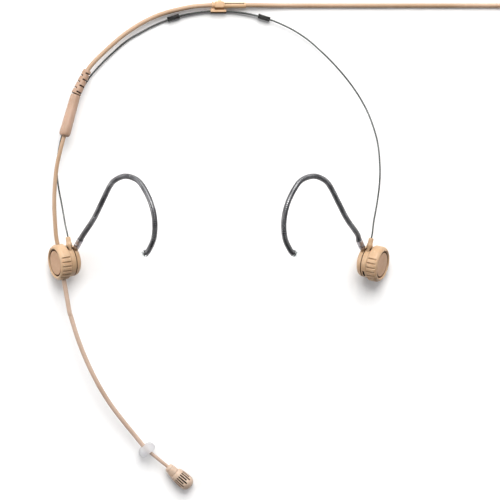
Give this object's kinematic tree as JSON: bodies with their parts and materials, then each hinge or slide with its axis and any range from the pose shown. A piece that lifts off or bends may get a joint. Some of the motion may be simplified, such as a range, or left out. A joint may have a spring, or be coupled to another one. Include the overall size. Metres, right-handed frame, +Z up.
{
  "type": "headset microphone",
  "caption": "Behind-the-neck headset microphone: wire band telescoping in two sleeves, spiral-wound ear hooks, boom with capsule, cable clip, cord and jack plug.",
  "frame": {"origin": "on the surface that the headset lies on, in the middle of the headset's outline without its free cord", "axes": "+X across the head from the boom's side to the other ear, +Y towards the back of the head, +Z up off the surface"},
  "size_m": [0.2222, 0.1961, 0.0552],
  "materials": {
    "tan_plastic": "satin",
    "tan_disc": "matte",
    "tan_cable": "satin",
    "spring_steel": "satin",
    "wound_steel": "dark satin",
    "clear_silicone": "frosted clear",
    "black_rubber": "matte",
    "plug_chrome": "polished",
    "splice_resin": "matte"
  },
  "bodies": {
    "left_side": {"band_wire_left": "spring_steel", "band_sleeve_right": "black_rubber", "hub_body_left": "tan_plastic", "friction_washer_left": "spring_steel", "clip_body": "tan_plastic", "clip_cable_guide": "tan_plastic", "boom_cable": "tan_cable", "splice_barrel": "tan_plastic", "splice_core": "splice_resin", "strain_relief": "tan_plastic", "neck_cable": "tan_cable", "cord_lead": "tan_cable", "cord_tail": "tan_cable", "cord_coil": "tan_cable", "cord_tie": "black_rubber", "plug_boot": "black_rubber", "plug_body": "plug_chrome", "plug_pin_sleeve": "plug_chrome", "plug_insulator_rear": "black_rubber", "plug_pin_ring": "plug_chrome", "plug_insulator_front": "black_rubber", "plug_pin_tip": "plug_chrome"},
    "right_side": {"band_wire_right": "spring_steel", "band_sleeve_left": "black_rubber", "hub_body_right": "tan_plastic", "friction_washer_right": "spring_steel"},
    "left_ear_hook": {"hook_carrier_left": "tan_plastic", "hook_sleeve_left": "spring_steel", "ear_hook_left": "wound_steel", "hook_tip_left": "clear_silicone"},
    "right_ear_hook": {"hook_carrier_right": "tan_plastic", "hook_sleeve_right": "spring_steel", "ear_hook_right": "wound_steel", "hook_tip_right": "clear_silicone"},
    "boom_holder": {"boom_ring": "tan_plastic", "face_disc_left": "tan_disc", "pivot_screw_left": "spring_steel"},
    "right_knob": {"knob_ring": "tan_plastic", "face_disc_right": "tan_disc", "pivot_screw_right": "spring_steel"},
    "boom": {"boom_tube": "tan_cable", "boom_front": "tan_cable", "mic_body": "tan_plastic", "mic_cap": "tan_plastic", "mic_element": "spring_steel"},
    "boom_guard": {"sweat_guard": "clear_silicone"},
    "plug_lock": {"plug_collar": "plug_chrome"}
  },
  "joints": [
    {"name": "band_slide", "type": "hinge", "parent": "left_side", "child": "right_side", "pos_m": [0.0004, 0.0325, 0.00145], "axis": [0, 0, 1], "range_deg": [-11, 8.5]},
    {"name": "left_hook_turn", "type": "hinge", "parent": "left_side", "child": "left_ear_hook", "pos_m": [-0.0607, -0.0063, 0.00723], "axis": [-0.8695, -0.1533, 0.4695], "range_deg": [-25, 25]},
    {"name": "right_hook_turn", "type": "hinge", "parent": "right_side", "child": "right_ear_hook", "pos_m": [0.0617, -0.0068, 0.0072], "axis": [0.8866, -0.2047, 0.4147], "range_deg": [-25, 25]},
    {"name": "boom_turn", "type": "hinge", "parent": "left_side", "child": "boom_holder", "pos_m": [-0.0607, -0.0063, 0.00723], "axis": [-0.8695, -0.1533, 0.4695], "range_deg": [-20, 20]},
    {"name": "knob_turn", "type": "hinge", "parent": "right_side", "child": "right_knob", "pos_m": [0.0617, -0.0068, 0.0072], "axis": [0.8866, -0.2047, 0.4147], "range_deg": [-25, 25]},
    {"name": "boom_slide", "type": "slide", "parent": "boom_holder", "child": "boom", "axis": [0.1736, -0.9848, 0], "range_m": [-0.004, 0.004]},
    {"name": "guard_slide", "type": "slide", "parent": "boom", "child": "boom_guard", "axis": [0.6332, -0.7709, -0.0688], "range_m": [-0.002, 0.001]},
    {"name": "collar_turn", "type": "hinge", "parent": "left_side", "child": "plug_lock", "pos_m": [0.1504, 0.008, 0.0043], "axis": [0, -1, 0], "continuous": true}
  ]
}
